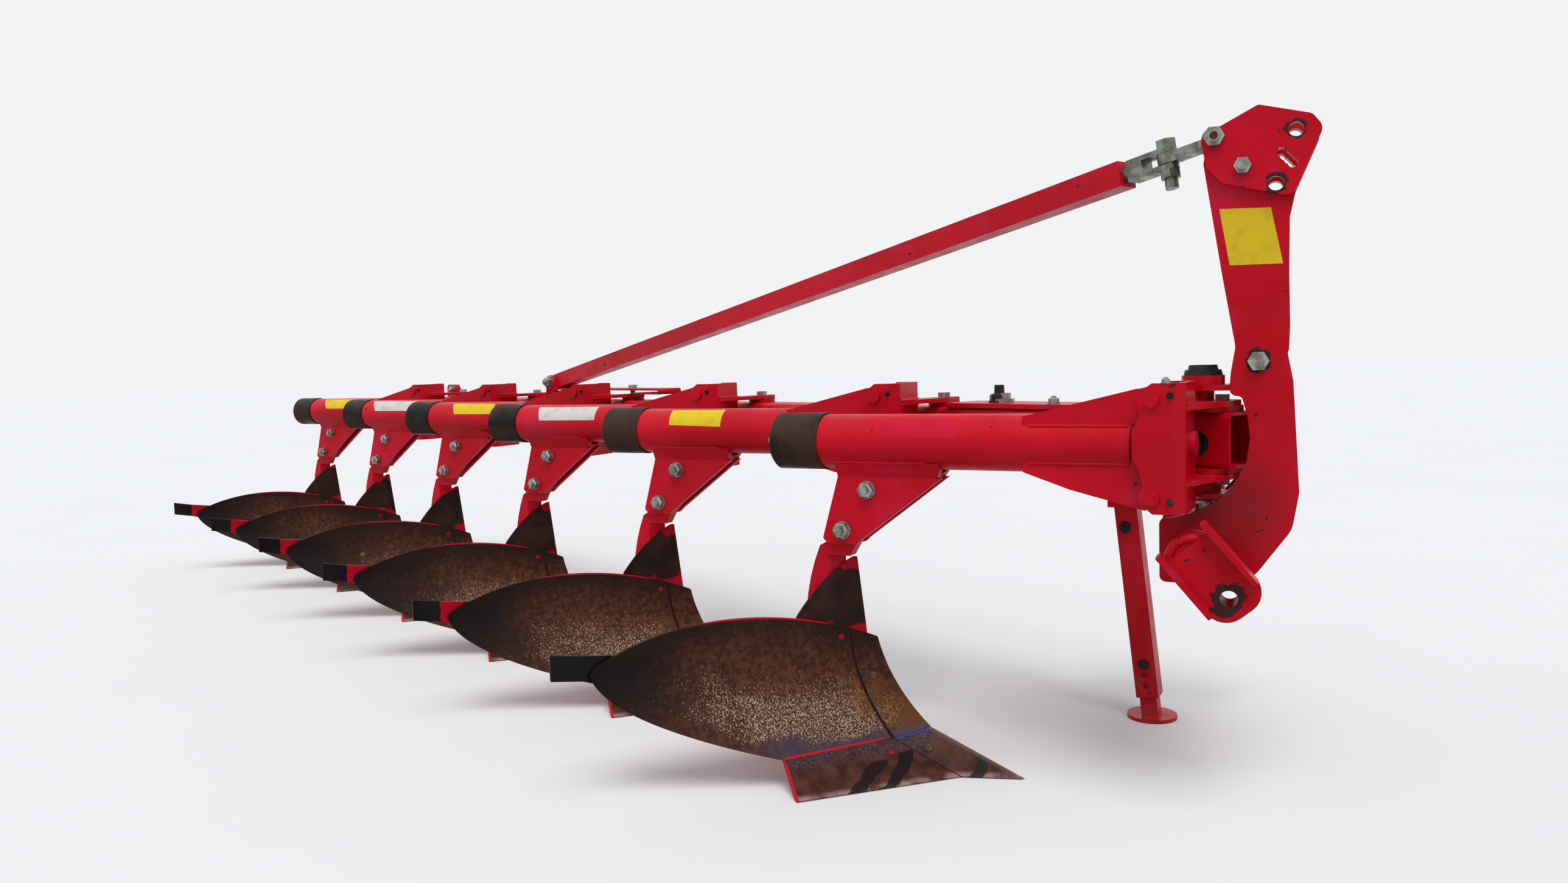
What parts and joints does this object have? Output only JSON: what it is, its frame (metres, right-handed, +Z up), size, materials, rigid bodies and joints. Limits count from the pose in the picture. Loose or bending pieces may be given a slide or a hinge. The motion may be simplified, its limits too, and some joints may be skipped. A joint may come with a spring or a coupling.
{
  "type": "mounted moldboard plough",
  "caption": "Mounted moldboard plough: a diagonal beam carries spring-tripped plough bodies in echelon behind a three-point headstock.",
  "frame": {"origin": "middle of the plough's outline on the ground, under the beam", "axes": "+X forward to the tractor, +Y to the left of the direction of travel, +Z up; the shares' edges lie at Z = 0"},
  "size_m": [5.4304, 2.5334, 1.5222],
  "materials": {
    "red_paint": "glossy red paint, scuffed",
    "zinc_plate": "bright and yellowish zinc plating",
    "dark_steel": "dark worn paint",
    "bare_steel": "soil-worn steel with brown rust"
  },
  "bodies": {
    "frame": {"main_beam": "red_paint", "nose_plates": "red_paint", "beam_lugs": "red_paint", "pivot_bolts": "zinc_plate", "hinge_pins": "red_paint", "head_cheeks": "red_paint", "mast_plates": "red_paint", "mast_doublers": "red_paint", "mast_bolts": "zinc_plate", "head_hub": "red_paint", "hub_cap": "dark_steel", "cross_shaft": "red_paint", "hitch_arms": "red_paint", "stay_bar": "red_paint", "stay_eye": "zinc_plate", "stand_carrier": "red_paint", "stand_pin": "dark_steel", "bracket_1": "red_paint", "bracket_2": "red_paint", "bracket_3": "red_paint", "bracket_4": "red_paint", "bracket_5": "red_paint", "bracket_6": "red_paint"},
    "stand": {"stand_leg": "red_paint"},
    "body_1": {"arm_1": "red_paint", "sleeve_1": "dark_steel", "shank_1": "red_paint", "board_1": "bare_steel", "share_1": "bare_steel", "shield_1": "red_paint"},
    "body_2": {"arm_2": "red_paint", "sleeve_2": "dark_steel", "shank_2": "red_paint", "board_2": "bare_steel", "share_2": "bare_steel", "shield_2": "red_paint"},
    "body_3": {"arm_3": "red_paint", "sleeve_3": "dark_steel", "shank_3": "red_paint", "board_3": "bare_steel", "share_3": "bare_steel", "shield_3": "red_paint"},
    "body_4": {"arm_4": "red_paint", "sleeve_4": "dark_steel", "shank_4": "red_paint", "board_4": "bare_steel", "share_4": "bare_steel", "shield_4": "red_paint"},
    "body_5": {"arm_5": "red_paint", "sleeve_5": "dark_steel", "shank_5": "red_paint", "board_5": "bare_steel", "share_5": "bare_steel", "shield_5": "red_paint"},
    "body_6": {"arm_6": "red_paint", "sleeve_6": "dark_steel", "shank_6": "red_paint", "board_6": "bare_steel", "share_6": "bare_steel", "shield_6": "red_paint"}
  },
  "joints": [
    {"name": "body_1_trip", "type": "hinge", "parent": "frame", "child": "body_1", "pos_m": [2.4048, -0.6667, 0.909], "axis": [0, 1, 0], "range_deg": [0, 25], "stiffness_Nm_per_rad": 9000, "springref_deg": -34.38},
    {"name": "body_2_trip", "type": "hinge", "parent": "frame", "child": "body_2", "pos_m": [1.6248, -0.3367, 0.909], "axis": [0, 1, 0], "range_deg": [0, 25], "stiffness_Nm_per_rad": 9000, "springref_deg": -34.38},
    {"name": "body_3_trip", "type": "hinge", "parent": "frame", "child": "body_3", "pos_m": [0.8448, -0.0067, 0.909], "axis": [0, 1, 0], "range_deg": [0, 25], "stiffness_Nm_per_rad": 9000, "springref_deg": -34.38},
    {"name": "body_4_trip", "type": "hinge", "parent": "frame", "child": "body_4", "pos_m": [0.0648, 0.3233, 0.909], "axis": [0, 1, 0], "range_deg": [0, 25], "stiffness_Nm_per_rad": 9000, "springref_deg": -34.38},
    {"name": "body_5_trip", "type": "hinge", "parent": "frame", "child": "body_5", "pos_m": [-0.7152, 0.6533, 0.909], "axis": [0, 1, 0], "range_deg": [0, 25], "stiffness_Nm_per_rad": 9000, "springref_deg": -34.38},
    {"name": "body_6_trip", "type": "hinge", "parent": "frame", "child": "body_6", "pos_m": [-1.4952, 0.9833, 0.909], "axis": [0, 1, 0], "range_deg": [0, 25], "stiffness_Nm_per_rad": 9000, "springref_deg": -34.38},
    {"name": "stand_height", "type": "slide", "parent": "frame", "child": "stand", "axis": [-0.1045, 0, 0.9945], "range_m": [-0.059, 0]}
  ]
}
